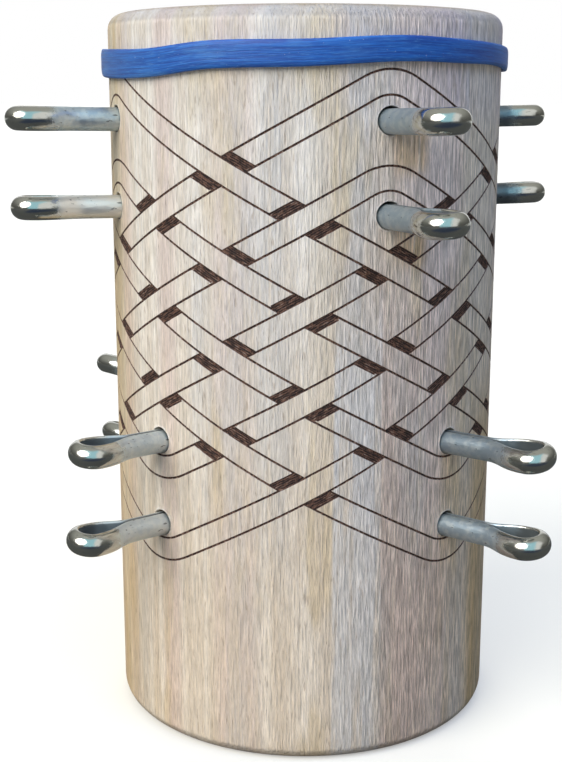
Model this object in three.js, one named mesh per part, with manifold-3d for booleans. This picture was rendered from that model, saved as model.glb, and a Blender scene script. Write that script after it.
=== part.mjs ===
// Globe knot jig: a wooden mandrel with four columns of split pins at each end and a rubber band.
// Lengths are millimetres and angles are degrees. +Z is up, the origin is the centre of the base,
// and the side that faces the viewer is -Y. Columns are counted from there, anticlockwise from above.

import * as THREE from "three";
import { mergeVertices } from "three/addons/utils/BufferGeometryUtils.js";
import Module from "manifold-3d";

// Mandrel
const mandrelDiameter = 63.5;
const topMargin = 9.75;
const gripHeight = 31;
const topEdgeRadius = 2.4;
const baseEdgeRadius = 2.4;

// Knot guide, the lattice of strands that the pins hold. It lies between the top margin and the grip.
// Its apexes are where the strands' centre lines would meet without the round of the bight, and a
// strand climbs one step in half the angle between two columns.
const bightCount = 4;
const guideStep = 13.5;
const guideRows = 5.5;
const firstTopColumn = 22.5;

// Split pins: half-round wire, doubled into two legs and an eye
const pinDiameter = 3.7;
const legGap = 0.14;
const shankLength = 19;
const legStep = 2;
const eyeLength = 11.5;
const eyeBore = 3.7;

// The curve from the shank to the eye, by the places of its two handles from the end of the shank
const throatStart = 3.3;
const throatEnd = 4;

// Pin holes. They climb a little on their way out.
const pinClearance = 0.2;
const holeFloorClearance = 1.5;
const drillPointAngle = 118;
const topHoleClimb = 1;
const baseHoleClimb = 2.5;

// Places of the pins: how far each row lies inside its apexes, how far each eye stands out of the
// wood, column by column, and how far a column is drilled off its even spacing
const topPinInset = 6.3;
const basePinInset = 5.4;
const topOuterStandOut = [19.2, 14, 16.5, 17.3];
const topInnerStandOut = [19.6, 14.8, 17, 17];
const baseInnerStandOut = [19.2, 16.8, 20.5, 16.6];
const baseOuterStandOut = [19, 17.2, 19.5, 17.5];
const baseColumnDrift = [0, 0, 4.5, 0];

// Rubber band
const bandWidth = 3.8;
const bandThickness = 1;
const bandCorner = 0.4;
const bandClearance = 0.15;
const bandTopInset = 6.9;
const bandTilt = 0.75;

// Smoothness of round stretches
const mandrelSides = 96;
const edgeSteps = 6;
const holeSides = 24;
const wireSteps = 8;
const throatSteps = 6;
const tipSteps = 12;
const bandCornerSteps = 3;

// Vertices closer than this are one vertex
const weldDistance = 1e-4;

// Derived sizes
const mandrelRadius = mandrelDiameter / 2;
const guideBase = gripHeight;
const guideTop = guideBase + guideRows * guideStep;
const mandrelHeight = guideTop + topMargin;
const columnAngle = 360 / bightCount;
const strandSweep = (guideRows * columnAngle) / 2;
const firstBaseColumn = THREE.MathUtils.euclideanModulo(firstTopColumn - strandSweep, columnAngle);
const wireThickness = (pinDiameter - legGap) / 2;
const leastStandOut = Math.min(
  ...topOuterStandOut,
  ...topInnerStandOut,
  ...baseInnerStandOut,
  ...baseOuterStandOut,
);
const holeDepth = shankLength + legStep + eyeLength - leastStandOut + holeFloorClearance;
const bandHeight = mandrelHeight - bandTopInset;

const wasm = await Module();
wasm.setup();

function radians(degrees) {
  return THREE.MathUtils.degToRad(degrees);
}

// A circular arc of a profile, from one angle to another, with both ends.
function arc(centreX, centreY, radius, fromAngle, toAngle, steps) {
  const points = [];
  for (let i = 0; i <= steps; i++) {
    const angle = radians(fromAngle + ((toAngle - fromAngle) * i) / steps);
    points.push(new THREE.Vector2(centreX + radius * Math.cos(angle), centreY + radius * Math.sin(angle)));
  }
  return points;
}

// A profile of radius and height, revolved about Z.
function revolve(profile, sides) {
  const geometry = new THREE.LatheGeometry(profile, sides);
  geometry.rotateX(Math.PI / 2);
  return geometry;
}

function toSolid(geometry) {
  const bare = geometry.clone();
  bare.deleteAttribute("normal");
  bare.deleteAttribute("uv");
  const merged = mergeVertices(bare, weldDistance);
  const mesh = new wasm.Mesh({
    numProp: 3,
    vertProperties: new Float32Array(merged.attributes.position.array),
    triVerts: new Uint32Array(merged.index.array),
  });
  return new wasm.Manifold(mesh);
}

function toGeometry(solid) {
  const mesh = solid.getMesh();
  const geometry = new THREE.BufferGeometry();
  geometry.setAttribute("position", new THREE.BufferAttribute(mesh.vertProperties, 3));
  geometry.setIndex(new THREE.BufferAttribute(mesh.triVerts, 1));
  geometry.computeVertexNormals();
  return geometry;
}

// Every pin, with its name, column angle, height at the wood, climb and how far its eye stands out.
function listPins() {
  const top = { firstColumn: firstTopColumn, drift: [0], climb: topHoleClimb };
  const base = { firstColumn: firstBaseColumn, drift: baseColumnDrift, climb: baseHoleClimb };
  const topHeight = guideTop - topPinInset;
  const baseHeight = guideBase + basePinInset;
  const rings = [
    { ...top, name: "top_outer_pin", height: topHeight, standOut: topOuterStandOut },
    { ...top, name: "top_inner_pin", height: topHeight - guideStep, standOut: topInnerStandOut },
    { ...base, name: "base_inner_pin", height: baseHeight + guideStep, standOut: baseInnerStandOut },
    { ...base, name: "base_outer_pin", height: baseHeight, standOut: baseOuterStandOut },
  ];
  const pins = [];
  for (const ring of rings) {
    for (let i = 0; i < bightCount; i++) {
      pins.push({
        name: `${ring.name}_${i + 1}`,
        column: ring.firstColumn + i * columnAngle + ring.drift[i % ring.drift.length],
        height: ring.height,
        climb: ring.climb,
        standOut: ring.standOut[i % ring.standOut.length],
      });
    }
  }
  return pins;
}

// The frame of one pin hole: its origin is the middle of the hole's mouth, and +x points out of it.
function holeFrame(pin) {
  const turn = new THREE.Matrix4().makeRotationZ(radians(pin.column - 90));
  const place = new THREE.Matrix4().makeTranslation(mandrelRadius, 0, pin.height);
  const climb = new THREE.Matrix4().makeRotationY(radians(-pin.climb));
  return turn.multiply(place).multiply(climb);
}

// What the drill takes out of the wood, from its point up to clear of the mouth.
function makeDrill() {
  const radius = pinDiameter / 2 + pinClearance;
  const pointLength = radius / Math.tan(radians(drillPointAngle / 2));
  const profile = [
    new THREE.Vector2(0, -holeDepth - pointLength),
    new THREE.Vector2(radius, -holeDepth),
    new THREE.Vector2(radius, radius),
    new THREE.Vector2(0, radius),
  ];
  const geometry = revolve(profile, holeSides);
  geometry.rotateY(Math.PI / 2);
  return geometry;
}

function makeMandrel(pins) {
  const profile = [
    new THREE.Vector2(0, 0),
    ...arc(mandrelRadius - baseEdgeRadius, baseEdgeRadius, baseEdgeRadius, -90, 0, edgeSteps),
    ...arc(mandrelRadius - topEdgeRadius, mandrelHeight - topEdgeRadius, topEdgeRadius, 0, 90, edgeSteps),
    new THREE.Vector2(0, mandrelHeight),
  ];
  let solid = toSolid(revolve(profile, mandrelSides));
  const drill = makeDrill();
  for (const pin of pins) {
    const hole = drill.clone();
    hole.applyMatrix4(holeFrame(pin));
    solid = solid.subtract(toSolid(hole));
  }
  return toGeometry(solid);
}

// The line that the wire's flat face follows, from the end of one leg, round the eye, to the other end.
// The throat is at x = 0 and the eye points along +x. Stations are spaced by count and not by length,
// so that each straight leg takes one step.
class WirePath extends THREE.Curve {
  constructor() {
    super();
    const half = eyeBore / 2;
    const centreX = eyeLength - wireThickness - half;
    const start = legGap / 2;
    this.centreX = centreX;
    this.half = half;
    this.throat = new THREE.CubicBezierCurve(
      new THREE.Vector2(0, start),
      new THREE.Vector2(throatStart, start),
      new THREE.Vector2(throatEnd, half),
      new THREE.Vector2(centreX, half),
    );
    this.stations = 2 + 2 * throatSteps + tipSteps;
  }

  getPoint(t, target = new THREE.Vector3()) {
    const middle = this.stations / 2;
    const station = t * this.stations;
    const side = station <= middle ? 1 : -1;
    const s = middle - Math.abs(station - middle);
    if (s <= 1) {
      const legLength = side > 0 ? shankLength : shankLength + legStep;
      return target.set(-(1 - s) * legLength, (side * legGap) / 2, 0);
    }
    if (s <= 1 + throatSteps) {
      const point = this.throat.getPoint((s - 1) / throatSteps);
      return target.set(point.x, side * point.y, 0);
    }
    const turn = (Math.PI / 2) * ((s - 1 - throatSteps) / (tipSteps / 2));
    return target.set(this.centreX + this.half * Math.sin(turn), side * this.half * Math.cos(turn), 0);
  }

  getPointAt(t, target) {
    return this.getPoint(t, target);
  }

  getTangentAt(t, target) {
    return this.getTangent(t, target);
  }
}

// Half-round section: the flat lies on the path and the round faces out of the eye.
function makeWireSection() {
  const radius = pinDiameter / 2;
  const flatAngle = THREE.MathUtils.radToDeg(Math.asin(legGap / 2 / radius));
  const round = arc(0, -legGap / 2, radius, flatAngle, 180 - flatAngle, wireSteps);
  return new THREE.Shape(round);
}

function makePin() {
  const path = new WirePath();
  return new THREE.ExtrudeGeometry(makeWireSection(), {
    steps: path.stations,
    extrudePath: path,
    bevelEnabled: false,
  });
}

function makeBand() {
  const inner = mandrelRadius + bandClearance;
  const outer = inner + bandThickness;
  const low = bandHeight - bandWidth / 2;
  const high = bandHeight + bandWidth / 2;
  const profile = [
    new THREE.Vector2(inner, low),
    ...arc(outer - bandCorner, low + bandCorner, bandCorner, -90, 0, bandCornerSteps),
    ...arc(outer - bandCorner, high - bandCorner, bandCorner, 0, 90, bandCornerSteps),
    new THREE.Vector2(inner, high),
    new THREE.Vector2(inner, low),
  ];
  const geometry = revolve(profile, mandrelSides);
  const place = geometry.attributes.position;
  for (let i = 0; i < place.count; i++) {
    const lean = place.getX(i) / mandrelRadius;
    place.setZ(i, place.getZ(i) + bandTilt * lean);
  }
  geometry.computeVertexNormals();
  return geometry;
}

const maple = new THREE.MeshStandardMaterial({ color: 0xd6c4ae, roughness: 0.72, metalness: 0 });
const zincSteel = new THREE.MeshStandardMaterial({ color: 0xa9b0b3, roughness: 0.32, metalness: 1 });
const blueRubber = new THREE.MeshStandardMaterial({ color: 0x2f5fa8, roughness: 0.62, metalness: 0 });

function addMesh(parent, name, geometry, material) {
  const mesh = new THREE.Mesh(geometry, material.clone());
  mesh.name = name;
  parent.add(mesh);
  return mesh;
}

function buildJig() {
  const jig = new THREE.Group();
  const pins = listPins();
  addMesh(jig, "mandrel", makeMandrel(pins), maple);
  const pinGeometry = makePin();
  for (const pin of pins) {
    const mesh = addMesh(jig, pin.name, pinGeometry, zincSteel);
    const throat = new THREE.Matrix4().makeTranslation(pin.standOut - eyeLength, 0, 0);
    mesh.applyMatrix4(holeFrame(pin).multiply(throat));
  }
  addMesh(jig, "rubber_band", makeBand(), blueRubber);
  return jig;
}

export default buildJig();
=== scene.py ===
"""Dresses the globe knot jig: a maple mandrel with a burnt guide, sixteen split pins and a band.

Sizes are in millimetres until a piece is finished, and then in metres, as in all materials. +Z is
up, the origin is the centre of the mandrel's base, and the side that faces the viewer is -Y.
Angles round the mandrel are degrees from that side, anticlockwise from above.
"""

import logging
import math
import random
from collections.abc import Callable, Iterable, Sequence
from dataclasses import dataclass
from enum import Enum

import bmesh
import bpy
from bmesh.types import BMEdge, BMesh, BMFace, BMVert
from mathutils import Matrix, Vector


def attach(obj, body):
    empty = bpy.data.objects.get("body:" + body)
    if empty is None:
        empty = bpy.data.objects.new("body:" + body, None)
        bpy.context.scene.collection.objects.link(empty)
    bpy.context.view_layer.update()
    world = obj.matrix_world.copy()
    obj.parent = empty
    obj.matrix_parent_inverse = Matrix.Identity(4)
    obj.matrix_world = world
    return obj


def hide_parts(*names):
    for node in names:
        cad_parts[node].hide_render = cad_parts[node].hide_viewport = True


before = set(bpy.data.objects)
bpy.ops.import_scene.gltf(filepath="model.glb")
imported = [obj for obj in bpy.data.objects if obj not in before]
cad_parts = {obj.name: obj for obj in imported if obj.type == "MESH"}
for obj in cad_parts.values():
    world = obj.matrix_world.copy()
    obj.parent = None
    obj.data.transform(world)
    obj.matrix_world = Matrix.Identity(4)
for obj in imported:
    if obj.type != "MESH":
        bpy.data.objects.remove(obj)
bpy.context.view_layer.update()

MM = 0.001
MANDREL_RADIUS = 31.75
GUIDE_STEP = 13.5
DEPTH_AXIS = Vector((0, 1, 0))
STAND_UP = Matrix.Rotation(math.radians(90), 4, "X")
log = logging.getLogger("globe_knot_jig")

Colour = tuple[float, float, float, float]
Triple = tuple[float, float, float]
# Numbers that belong together: mostly a range's start and end, and what these become.
Span = tuple[float, ...]
Table = tuple[Span, ...]
Socket = bpy.types.NodeSocket
Value = Socket | float | Sequence[float]
Depth = Callable[[Vector], float]
Side = tuple[Vector, Vector]
Cell = tuple[int, int]

WHITE: Colour = (1, 1, 1, 1)


class Slot(Enum):
    """The material slots."""

    WOOD = "maple"
    STEEL = "zinc_steel"
    RUBBER = "blue_rubber"


class Lean(Enum):
    """Which way a strand of the guide climbs, seen from outside."""

    RISING = 1
    FALLING = -1


class End(Enum):
    """The two ends of the mandrel."""

    TOP = 1
    BASE = -1


# Finishes


class Bench:
    """A node tree being made, with short ways to add and join nodes."""

    def __init__(self, owner: bpy.types.Material | bpy.types.World) -> None:
        """Clears the node tree of a material or world.

        Args:
            owner: The material or world.
        """
        owner.use_nodes = True
        owner.node_tree.nodes.clear()
        self.owner = owner
        self.tree = owner.node_tree

    def node(self, kind: str, inputs: dict | None = None, **settings: object) -> bpy.types.Node:
        """Adds one node.

        Args:
            kind: The node's type, without its ShaderNode prefix.
            inputs: Sockets by name or number, each with a node's socket or a plain value.
            settings: The node's own properties.

        Returns:
            The new node.
        """
        made = self.tree.nodes.new("ShaderNode" + kind)
        for key, setting in settings.items():
            setattr(made, key, setting)
        for key, value in (inputs or {}).items():
            if isinstance(value, Socket):
                self.tree.links.new(value, made.inputs[key])
            else:
                made.inputs[key].default_value = value
        return made

    def own_place(self) -> Socket:
        """Gives the object's own coordinates."""
        return self.node("TexCoord").outputs["Object"]

    def axes(self, vector: Socket) -> list[Socket]:
        """Splits a vector into X, Y and Z."""
        return list(self.node("SeparateXYZ", {0: vector}).outputs)

    def mapped(
        self, source: Socket, scale: Triple, shift: Triple = (0, 0, 0), turn: float = 0
    ) -> Socket:
        """Gives coordinates that are moved, and then scaled or turned about Z.

        Args:
            source: The coordinates.
            scale: The scale along each axis.
            shift: How far they are moved.
            turn: How far they are turned, in radians.

        Returns:
            The new coordinates.
        """
        moved = self.node("VectorMath", {0: source, 1: shift}, operation="ADD").outputs[0]
        inputs = {"Vector": moved, "Rotation": (0, 0, turn), "Scale": scale}
        return self.node("Mapping", inputs).outputs[0]

    def span(
        self, value: Value, low: float, high: float, to_low: Value = 0, to_high: Value = 1
    ) -> Socket:
        """Maps a range of a value smoothly to another range, and holds it there."""
        inputs = {0: value, 1: low, 2: high, 3: to_low, 4: to_high}
        return self.node("MapRange", inputs, interpolation_type="SMOOTHSTEP").outputs[0]

    def math(self, operation: str, first: Value, second: Value = 0, clamp: bool = False) -> Socket:
        """Works out one sum of two values, and holds it between 0 and 1 where it is clamped."""
        inputs = {0: first, 1: second}
        return self.node("Math", inputs, operation=operation, use_clamp=clamp).outputs[0]

    def product(self, first: Value, *others: Value) -> Value:
        """Multiplies values.

        Args:
            first: The first value.
            others: The values that it is multiplied by.

        Returns:
            The product.
        """
        for other in others:
            first = self.math("MULTIPLY", first, other)
        return first

    def plus(self, first: Value, second: Value, times: float) -> Socket:
        """Adds the second value, so many times, to the first."""
        return self.math("ADD", first, self.math("MULTIPLY", second, times))

    def mix(self, share: Value, first: Value, second: Value, blend: str = "MIX") -> Socket:
        """Blends a share of the second colour into the first."""
        inputs = {0: share, 6: first, 7: second}
        return self.node("Mix", inputs, data_type="RGBA", blend_type=blend).outputs[2]

    def tint(self, share: Value, shade: Value, glaze: Value) -> Socket:
        """Multiplies a shade by a share of a glaze."""
        return self.mix(share, shade, glaze, "MULTIPLY")

    def attribute(self, name: str, output: str = "Fac") -> Socket:
        """Reads an attribute of the piece's own mesh."""
        return self.node("Attribute", attribute_name=name).outputs[output]

    def relief(self, *layers: tuple[Value, float, float]) -> Socket:
        """Turns layers of relief into one normal.

        Args:
            layers: The height, the distance and the strength of each, from the lowest up.

        Returns:
            The normal.
        """
        inputs = {}
        for height, distance, strength in layers:
            inputs |= {"Height": height, "Distance": distance, "Strength": strength}
            inputs["Normal"] = self.node("Bump", inputs).outputs[0]
        return inputs["Normal"]

    def finish(self, inputs: dict) -> bpy.types.Material:
        """Closes the material with a surface shader.

        Args:
            inputs: The shader's sockets by name.

        Returns:
            The finished material.
        """
        shader = self.node("BsdfPrincipled", inputs)
        self.node("OutputMaterial", {"Surface": shader.outputs[0]})
        return self.owner


def linear(value: int) -> float:
    """Gives the linear value of a screen value."""
    share = value / 255
    return share / 12.92 if share <= 0.04045 else ((share + 0.055) / 1.055) ** 2.4


def colour(red: int, green: int, blue: int) -> Colour:
    """Gives the linear colour that nodes take for a screen colour."""
    return (linear(red), linear(green), linear(blue), 1.0)


@dataclass(frozen=True)
class Grain:
    """A noise pattern, moved by its shift and drawn out along an axis by a small stretch."""

    stretch: Triple
    scale: float
    detail: float = 3
    roughness: float = 0.55
    shift: Triple = (0, 0, 0)

    def on(self, b: Bench, source: Socket | None = None) -> Socket:
        """Lays the pattern out.

        Args:
            b: The bench.
            source: The coordinates to lay it on. The object's own are used where none are given.

        Returns:
            The pattern's strength.
        """
        place = b.mapped(b.own_place() if source is None else source, self.stretch, self.shift)
        inputs = {"Vector": place, "Scale": self.scale, "Detail": self.detail}
        return b.node("TexNoise", {**inputs, "Roughness": self.roughness}).outputs[0]


@dataclass(frozen=True)
class Rings:
    """The growth rings, as waves round a pith that lies outside the blank."""

    scale: float
    distortion: float
    phase: float
    stretch: Triple = (1, 1, 0.06)
    pith: Triple = (0.062, -0.105, 0)
    detail: float = 3
    detail_scale: float = 0.55
    detail_roughness: float = 0.6

    def on(self, b: Bench) -> Socket:
        """Lays the rings out.

        Args:
            b: The bench.

        Returns:
            The rings' strength.
        """
        inputs = {
            "Vector": b.mapped(b.own_place(), self.stretch, self.pith),
            "Scale": self.scale,
            "Distortion": self.distortion,
            "Detail": self.detail,
            "Detail Scale": self.detail_scale,
            "Detail Roughness": self.detail_roughness,
            "Phase Offset": self.phase,
        }
        kind = {"wave_type": "RINGS", "rings_direction": "Z", "wave_profile": "SIN"}
        return b.node("TexWave", inputs, **kind).outputs["Fac"]


@dataclass(frozen=True)
class Wash:
    """A colour laid over a shade. Its share grows with a pattern, from the start to the full."""

    tint: Colour
    start: float
    full: float
    share: float

    def over(self, b: Bench, pattern: Socket, shade: Value) -> Socket:
        """Lays the colour over a shade."""
        return b.mix(b.span(pattern, self.start, self.full, 0, self.share), shade, self.tint)


@dataclass(frozen=True)
class Stripe:
    """A stripe with soft borders: where it starts, is full, begins to fade, and ends."""

    start: float
    full: float
    fading: float
    end: float

    def on(self, b: Bench, value: Socket) -> Socket:
        """Gives how much of the stripe shows at a value."""
        return b.product(b.span(value, self.start, self.full), b.span(value, self.end, self.fading))


@dataclass(frozen=True)
class Contrast:
    """How dark and light a pattern makes the wood, in the middle and on the right, where the
    stronger contrast is painted raking-light shade.
    """

    low: float
    high: float
    right: float
    dark: Span
    light: Span

    def on(self, b: Bench, pattern: Socket, across: Socket) -> Socket:
        """Gives the tone that a pattern has, where it lies so far across."""
        tones = (b.span(across, 0, self.right, *pair) for pair in (self.dark, self.light))
        return b.span(pattern, self.low, self.high, *tones)


LATE_WOOD = colour(224, 214, 197)
WARM_STAIN = colour(222, 207, 174)


@dataclass(frozen=True)
class MapleFinish:
    """Sanded, unoiled maple with its guide burnt in. The grain runs along Z."""

    pale: Colour = colour(244, 239, 227)
    figure: tuple[tuple[Grain | Rings, Wash], ...] = (
        (Rings(92, 2.6, 0), Wash(LATE_WOOD, 0.2, 1, 0.6)),
        (Grain((1, 1, 0.09), 46, 2), Wash(WARM_STAIN, 0.47, 0.66, 0.55)),
        (Rings(31, 5, 1.3), Wash(colour(226, 209, 199), 0.4, 0.95, 0.7)),
        (
            Grain((1, 1, 0.12), 120, shift=(0.4, 0.2, 0)),
            Wash(colour(214, 213, 208), 0.48, 0.66, 0.7),
        ),
        (Grain((1, 1, 0.16), 170, shift=(0.15, 0.6, 0.1)), Wash(WARM_STAIN, 0.53, 0.68, 0.7)),
    )
    wander: Grain = Grain((1, 1, 0.1), 60, 2)
    lane_wander: float = 0.002
    low_down: Span = (0.085, 0.055)
    bright_lane: Stripe = Stripe(0.0044, 0.0049, 0.0113, 0.0118)
    bright_share: float = 0.85
    bright_ring: Colour = colour(222, 225, 226)
    dark_lane: Stripe = Stripe(0.0112, 0.0118, 0.017, 0.023)
    dark_ring: Colour = colour(237, 235, 236)
    # Painted shadow below the front right pins of the top rings, and where it lies.
    painted_pin_shadow: Colour = colour(238, 222, 190)
    pin_shadow_lane: Stripe = Stripe(0.0118, 0.0142, 0.017, 0.0188)
    pin_shadow_mouths: Span = (0.09895, 0.08545)
    pin_shadow_run: Stripe = Stripe(-0.0095, -0.0055, -0.001, 0.001)
    front: Span = (0, -0.01)
    # Painted cool light at the upper right, and where it lies.
    painted_cool_light: Colour = (0.96, 0.985, 1.1, 1)
    painted_cool_light_across: Span = (0.013, 0.022)
    painted_cool_light_height: Span = (0.096, 0.102)
    streak: Grain = Grain((1, 1, 0.035), 900, 4, 0.62)
    streak_wash: Wash = Wash(LATE_WOOD, 0.46, 0.66, 0.7)
    dash: Grain = Grain((1, 1, 0.14), 3000, 2, 0.5, (0.07, 0.2, 0))
    dash_wash: Wash = Wash(colour(176, 158, 138), 0.6, 0.72, 0.45)
    fibre: Grain = Grain((1, 1, 0.07), 3600, 4, 0.68)
    # Painted shade: the fibres' and nap's contrast grows to the right, where the window's light
    # rakes across them.
    fibre_tone: Contrast = Contrast(0.28, 0.72, 0.02, (0.77, 0.6), (1.15, 1.33))
    nap: Grain = Grain((1, 1, 0.11), 2500, 3, 0.6, (0.3, 0.1, 0))
    nap_tone: Contrast = Contrast(0.34, 0.66, 0.014, (0.94, 0.78), (1.05, 1.19))
    # Painted shade: a greyer, darker tint on the turned, rounded edges; their calmer fibres are the
    # turned finish.
    turned: Colour = colour(221, 222, 225)
    turned_facing: Stripe = Stripe(0.04, 0.5, 0.97, 0.999)
    turned_calm: float = 0.6
    # Warmer and a little darker towards the base.
    base_warmth: Colour = colour(250, 240, 226)
    base_warmth_height: Span = (0.1, 0.01)
    # A warmer tint at the left edge and low down on the right edge.
    edge_warmth: Colour = colour(242, 230, 203)
    edge_warmth_wander: float = 0.006
    edge_warmth_left: Span = (-0.0255, -0.0305, 0, 0.85)
    edge_warmth_right: Span = (0.0265, 0.029)
    edge_warmth_right_height: Span = (0.062, 0.045)
    end_grain: Colour = colour(206, 186, 156)
    end_facing: Span = (0.75, 0.98, 0, 0.56)
    torn: Colour = colour(244, 240, 234)
    torn_span: Span = (0.1, 0.5)
    torn_share: float = 0.4
    fray: Grain = Grain((1, 1, 0.5), 1300, 3, 0.6)
    fray_span: Span = (0.36, 0.5)
    speck: Grain = Grain((1, 1, 1), 2600, 3, 0.7)
    stroke: Grain = Grain((0.27, 1, 1), 3000, 3, 0.7)
    # The guide's own slope: one step up for half a bight, an eighth of the way round.
    stroke_slope: float = math.atan2(GUIDE_STEP, math.pi * MANDREL_RADIUS / 4)
    hatched: Span = (0.3, 0.7)
    radius: float = MANDREL_RADIUS * MM
    heat_span: Span = (0.35, 0.57, 0.36, 1.16)
    scorched: Wash = Wash(colour(110, 78, 62), 0.02, 0.36, 1)
    burnt: Wash = Wash(colour(34, 20, 17), 0.4, 0.92, 1)
    rough_span: Span = (0.3, 0.7, 0.52, 0.66)
    char_rough: float = 0.2
    pores: Span = (0.62, 0.72, 0, 0.5)
    nap_relief: Span = (0.00035, 1)
    fibre_relief: Span = (0.00014, 0.9)
    streak_relief: Span = (0.00012, 0.5)
    char_relief: Span = (0.00012, 0.6)
    ior: float = 1.5

    def material(self) -> bpy.types.Material:
        """Builds the wood.

        Returns:
            The material.
        """
        b = Bench(bpy.data.materials.new("sanded_maple"))
        streak, dash = self.streak.on(b), self.dash.on(b)
        fibre, nap = self.fibre.on(b), self.nap.on(b)
        char = b.attribute("char")
        speck = self.strokes(b)
        shade = self.figured(b)
        shade = self.streak_wash.over(b, streak, shade)
        shade = self.dash_wash.over(b, dash, shade)
        shade = self.toned(b, shade, fibre, nap)
        fray = b.span(self.fray.on(b), *self.fray_span)
        torn = b.span(b.attribute("torn"), *self.torn_span)
        shade = b.mix(b.product(torn, fray, self.torn_share), shade, self.torn)
        heat = b.math("MULTIPLY", char, b.span(speck, *self.heat_span), clamp=True)
        for burn in (self.scorched, self.burnt):
            shade = burn.over(b, heat, shade)
        grooved = b.math("SUBTRACT", streak, b.span(dash, *self.pores))
        normal = b.relief(
            (nap, *self.nap_relief),
            (fibre, *self.fibre_relief),
            (grooved, *self.streak_relief),
            (b.product(speck, char), *self.char_relief),
        )
        rough = b.plus(b.span(streak, *self.rough_span), char, self.char_rough)
        look = {"Base Color": shade, "Roughness": rough, "Normal": normal}
        return b.finish({**look, "IOR": self.ior})

    def figured(self, b: Bench) -> Socket:
        """Builds the broad figure: rings, stains, two lanes of odd growth, painted pin shadows and
        a painted cool light.

        Args:
            b: The bench.

        Returns:
            The shade.
        """
        shade = self.pale
        for pattern, wash in self.figure:
            shade = wash.over(b, pattern.on(b), shade)
        across, deep, height = b.axes(b.own_place())
        lane = b.plus(across, self.wandering(b), self.lane_wander)
        low_down = b.span(height, *self.low_down)
        bright = b.product(self.bright_lane.on(b, lane), low_down, self.bright_share)
        shade = b.mix(bright, shade, self.bright_ring)
        shade = b.tint(b.product(self.dark_lane.on(b, lane), low_down), shade, self.dark_ring)
        # Painted shadow: a warmer, darker tint on the front just below the holes of the front right
        # top pins.
        pin_shadow_front = b.product(self.pin_shadow_lane.on(b, lane), b.span(deep, *self.front))
        for mouth in self.pin_shadow_mouths:
            run = self.pin_shadow_run.on(b, b.math("SUBTRACT", height, mouth))
            shade = b.tint(b.product(pin_shadow_front, run), shade, self.painted_pin_shadow)
        # Painted light: a cooler, bluer tint at the upper right, where blue sky light falls.
        corner = b.product(b.span(across, *self.painted_cool_light_across), b.span(height, *self.painted_cool_light_height))
        return b.tint(corner, shade, self.painted_cool_light)

    def toned(self, b: Bench, shade: Socket, fibre: Socket, nap: Socket) -> Socket:
        """Tones a shade: by its fibres, whose stronger contrast on the right is painted
        raking-light shade; warmer towards the base and at the left and lower right edges; and
        greyer on the turned, rounded edges, as painted shade.

        Args:
            b: The bench.
            shade: The shade.
            fibre: The strength of the fibres.
            nap: The strength of the nap.

        Returns:
            The toned shade.
        """
        across, _, height = b.axes(b.own_place())
        facing = b.math("ABSOLUTE", b.axes(b.node("TexCoord").outputs["Normal"])[2])
        turned = self.turned_facing.on(b, facing)
        tone = b.product(self.fibre_tone.on(b, fibre, across), self.nap_tone.on(b, nap, across))
        tone = b.product(tone, b.span(turned, 0, 1, 1, 1 - self.turned_calm))
        tone = b.plus(tone, turned, self.turned_calm)
        grey = b.node("CombineColor", {0: tone, 1: tone, 2: tone}).outputs[0]
        shade = b.tint(1, shade, grey)
        # Warmer and a little darker towards the base.
        shade = b.tint(b.span(height, *self.base_warmth_height), shade, self.base_warmth)
        # A warmer tint at the left edge and low down on the right edge.
        edge = b.plus(across, self.wandering(b), self.edge_warmth_wander)
        right = b.product(b.span(edge, *self.edge_warmth_right), b.span(height, *self.edge_warmth_right_height))
        edge_warmth = b.math("MAXIMUM", b.span(edge, *self.edge_warmth_left), right)
        shade = b.tint(edge_warmth, shade, self.edge_warmth)
        # Painted shade on the turned, rounded edges.
        shade = b.tint(turned, shade, self.turned)
        return b.tint(b.span(facing, *self.end_facing), shade, self.end_grain)

    def wandering(self, b: Bench) -> Socket:
        """Gives how far the borders of lanes wander, to both sides."""
        return b.math("SUBTRACT", self.wander.on(b), 0.5)

    def strokes(self, b: Bench) -> Socket:
        """Gives the specks of char, drawn out along the strand that lies over a hatched shade.

        Args:
            b: The bench.

        Returns:
            The specks' strength.
        """
        speck = self.speck.on(b)
        x, y, z = b.axes(b.own_place())
        turn = b.math("ARCTAN2", x, b.product(y, -1))
        flat = b.node("CombineXYZ", {0: b.product(turn, self.radius), 1: z}).outputs[0]
        lean = b.attribute("lean")
        for side in (1, -1):
            level = b.mapped(flat, (1, 1, 1), turn=-side * self.stroke_slope)
            hatched = b.span(b.product(lean, side), *self.hatched)
            speck = b.mix(hatched, speck, self.stroke.on(b, level))
        return speck


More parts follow.
